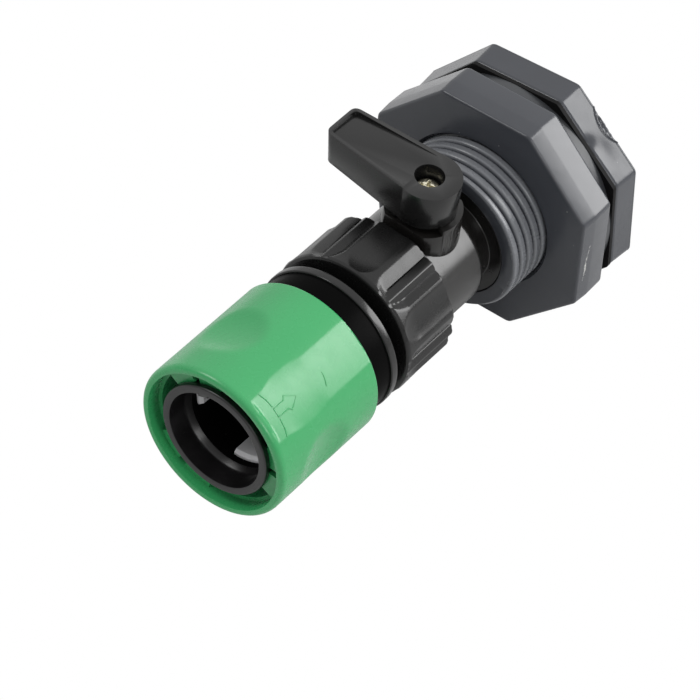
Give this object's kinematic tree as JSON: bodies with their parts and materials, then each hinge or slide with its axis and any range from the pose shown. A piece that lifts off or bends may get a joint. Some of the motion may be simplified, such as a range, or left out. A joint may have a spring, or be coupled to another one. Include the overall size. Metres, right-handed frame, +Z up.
{
  "type": "tank bulkhead fitting with valve and hose coupling",
  "caption": "Grey threaded bulkhead fitting with gasket and octagonal nut, black quarter-turn ball valve with side lever, and green click-on hose coupling.",
  "frame": {"origin": "on the pipe axis, in the head's sealing plane, where the gasket bears on the head; the gasket lies against the tank wall's inner side", "axes": "+Y along the pipe into the tank, -Y out through the coupling's mouth; +Z up along the valve stem; the lever points along -X when the valve is shut"},
  "size_m": [0.0522, 0.1019, 0.0522],
  "materials": {
    "grey_pvc": "moulded satin",
    "black_rubber": "matt",
    "washer_plastic": "moulded satin",
    "seal_rubber": "matt",
    "black_valve": "moulded satin",
    "seat_plastic": "smooth",
    "ball_plastic": "polished",
    "stem_plastic": "smooth",
    "lever_plastic": "moulded satin",
    "plated_screw": "zinc plated",
    "ribbed_plastic": "moulded satin",
    "gloss_black": "polished",
    "dark_grey": "moulded satin",
    "green_plastic": "moulded satin gloss",
    "claw_plastic": "smooth",
    "spring_steel": "bright wire"
  },
  "bodies": {
    "fitting": {"bulkhead_body": "grey_pvc", "head_gasket": "black_rubber", "inlet_seal": "seal_rubber", "valve_body": "black_valve", "seat_rear": "seat_plastic", "seat_front": "seat_plastic", "seat_retainer": "black_valve"},
    "washer": {"slip_washer": "washer_plastic"},
    "lock_nut": {"bulkhead_nut": "grey_pvc"},
    "lever_and_ball": {"lever": "lever_plastic", "lever_screw": "plated_screw", "stem": "stem_plastic", "stem_ring_lower": "seal_rubber", "stem_ring_upper": "seal_rubber", "ball": "ball_plastic"},
    "coupling": {"connector_body": "gloss_black", "mouth_ring": "dark_grey", "union_washer": "seal_rubber", "sleeve_spring": "spring_steel"},
    "union": {"union_nut": "ribbed_plastic"},
    "sleeve": {"release_sleeve": "green_plastic"},
    "claw_a": {"claw_1": "claw_plastic"},
    "claw_b": {"claw_2": "claw_plastic"},
    "claw_c": {"claw_3": "claw_plastic"}
  },
  "joints": [
    {"name": "washer_slide", "type": "slide", "parent": "fitting", "child": "washer", "axis": [0, -1, 0], "range_m": [0, 0.00924]},
    {"name": "lock_nut_turn", "type": "hinge", "parent": "washer", "child": "lock_nut", "pos_m": [0, 0, 0], "axis": [0, -1, 0], "range_deg": [0, 1440]},
    {"name": "valve_turn", "type": "hinge", "parent": "fitting", "child": "lever_and_ball", "pos_m": [0, -0.03315, 0], "axis": [0, 0, 1], "range_deg": [0, 90]},
    {"name": "coupling_slide", "type": "slide", "parent": "fitting", "child": "coupling", "axis": [0, -1, 0], "range_m": [0, 0.00924]},
    {"name": "union_turn", "type": "hinge", "parent": "coupling", "child": "union", "pos_m": [0, 0, 0], "axis": [0, -1, 0], "range_deg": [0, 1440]},
    {"name": "sleeve_slide", "type": "slide", "parent": "coupling", "child": "sleeve", "axis": [0, 1, 0], "range_m": [0, 0.005], "stiffness_N_per_m": 600, "springref_m": -0.005, "deforming": ["sleeve_spring"]},
    {"name": "claw_a_slide", "type": "slide", "parent": "coupling", "child": "claw_a", "axis": [0.5736, 0, 0.8192], "range_m": [0, 0.0012]},
    {"name": "claw_b_slide", "type": "slide", "parent": "coupling", "child": "claw_b", "axis": [0.4226, 0, -0.9063], "range_m": [0, 0.0012]},
    {"name": "claw_c_slide", "type": "slide", "parent": "coupling", "child": "claw_c", "axis": [-0.9962, 0, 0.0872], "range_m": [0, 0.0012]}
  ],
  "couplings": [
    {"joint": "lock_nut_turn", "follows": "washer_slide", "rad_per_m": 2721.2},
    {"joint": "union_turn", "follows": "coupling_slide", "rad_per_m": 2721.2},
    {"joint": "claw_a_slide", "follows": "sleeve_slide", "ratio": 0.24},
    {"joint": "claw_b_slide", "follows": "sleeve_slide", "ratio": 0.24},
    {"joint": "claw_c_slide", "follows": "sleeve_slide", "ratio": 0.24}
  ]
}
